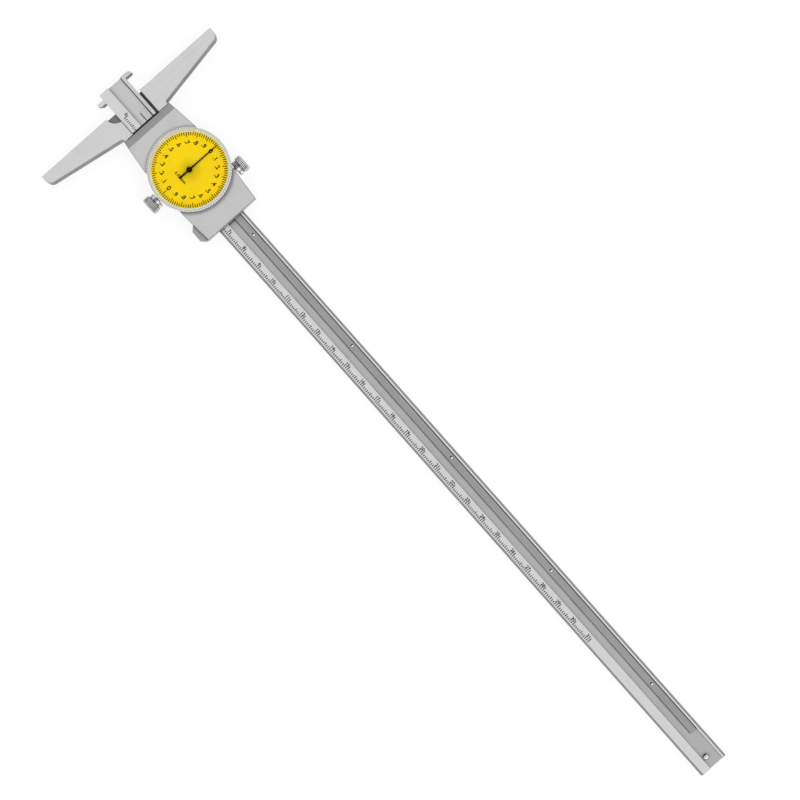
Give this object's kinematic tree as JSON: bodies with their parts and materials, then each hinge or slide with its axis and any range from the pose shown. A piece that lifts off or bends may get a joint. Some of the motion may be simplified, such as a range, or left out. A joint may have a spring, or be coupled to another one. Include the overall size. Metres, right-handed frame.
{
  "type": "dial depth gauge",
  "caption": "Dial depth gauge: hooked sliding beam with rack and graduated edge, tapered measuring base, round dial with turning bezel, and knurled lock screws.",
  "frame": {"origin": "on the measuring face of the base, on the beam's centre line, half way through the web behind the beam", "axes": "+Y out of the measuring face along the beam, +Z towards the dial, +X to the side that carries the beam lock screw"},
  "size_m": [0.1, 0.402, 0.0147],
  "materials": {
    "beam_steel": "satin ground along its length",
    "rack_steel": "milled teeth, darker steel",
    "pin_steel": "bright rivet heads",
    "screw_steel": "turned",
    "base_steel": "satin chrome over ground steel",
    "gib_bronze": "plain strip",
    "thumb_screw_chrome": "polished collar, knurled head",
    "cover_satin": "satin grey plating",
    "movement_brass": "fine turned",
    "bush_bronze": "turned",
    "arbor_steel": "polished",
    "spring_steel": "blued strip",
    "pointer_black": "matt black lacquer",
    "dial_yellow": "satin yellow lacquer with black print",
    "crystal_clear": "clear",
    "bezel_chrome": "coin-edged ring"
  },
  "bodies": {
    "base": {"base_frame": "base_steel", "cover_screws": "screw_steel", "gib_strip": "gib_bronze", "gib_set_screws": "screw_steel", "front_cover": "cover_satin", "bezel_clamp_plug": "movement_brass", "snap_ring": "spring_steel", "movement_plate": "movement_brass", "movement_plate_screws": "screw_steel", "bridge_pillars": "movement_brass", "bridge_screws": "screw_steel", "movement_bridge": "movement_brass", "shaft_bushes": "bush_bronze"},
    "beam": {"beam": "beam_steel", "rack": "rack_steel", "rack_pins": "pin_steel", "end_stop_screw": "screw_steel"},
    "lock_screw": {"lock_screw": "thumb_screw_chrome"},
    "bezel_clamp": {"bezel_clamp_screw": "thumb_screw_chrome"},
    "drive_train": {"drive_pinion": "arbor_steel", "drive_wheel": "movement_brass"},
    "takeup_train": {"takeup_pinion": "arbor_steel", "takeup_wheel": "movement_brass", "hairspring": "spring_steel"},
    "pointer_arbor": {"centre_pinion": "arbor_steel", "pointer": "pointer_black"},
    "bezel": {"bezel": "bezel_chrome", "dial_plate": "dial_yellow", "crystal": "crystal_clear"}
  },
  "joints": [
    {"name": "beam_slide", "type": "slide", "parent": "base", "child": "beam", "axis": [0, 1, 0], "range_m": [-0.008, 0.3136]},
    {"name": "lock_screw_turn", "type": "hinge", "parent": "base", "child": "lock_screw", "pos_m": [0.0194, -0.0549, 0.00341], "axis": [-1, 0, 0], "range_deg": [-180, 45]},
    {"name": "bezel_clamp_turn", "type": "hinge", "parent": "base", "child": "bezel_clamp", "pos_m": [-0.0205, -0.0425, 0.00736], "axis": [1, 0, 0], "range_deg": [-180, 45]},
    {"name": "bezel_turn", "type": "hinge", "parent": "base", "child": "bezel", "pos_m": [0.00125, -0.0425, 0.0115], "axis": [0, 0, 1], "continuous": true},
    {"name": "drive_train_spin", "type": "hinge", "parent": "base", "child": "drive_train", "pos_m": [0, -0.05081, 0.0075], "axis": [0, 0, 1], "continuous": true},
    {"name": "takeup_train_spin", "type": "hinge", "parent": "base", "child": "takeup_train", "pos_m": [0, -0.03419, 0.0075], "axis": [0, 0, 1], "continuous": true},
    {"name": "pointer_spin", "type": "hinge", "parent": "base", "child": "pointer_arbor", "pos_m": [0.00125, -0.0425, 0.0085], "axis": [0, 0, 1], "continuous": true}
  ],
  "couplings": [
    {"joint": "drive_train_spin", "follows": "beam_slide", "rad_per_m": 628.32},
    {"joint": "takeup_train_spin", "follows": "beam_slide", "rad_per_m": 628.32},
    {"joint": "pointer_spin", "follows": "beam_slide", "rad_per_m": -3141.6}
  ]
}
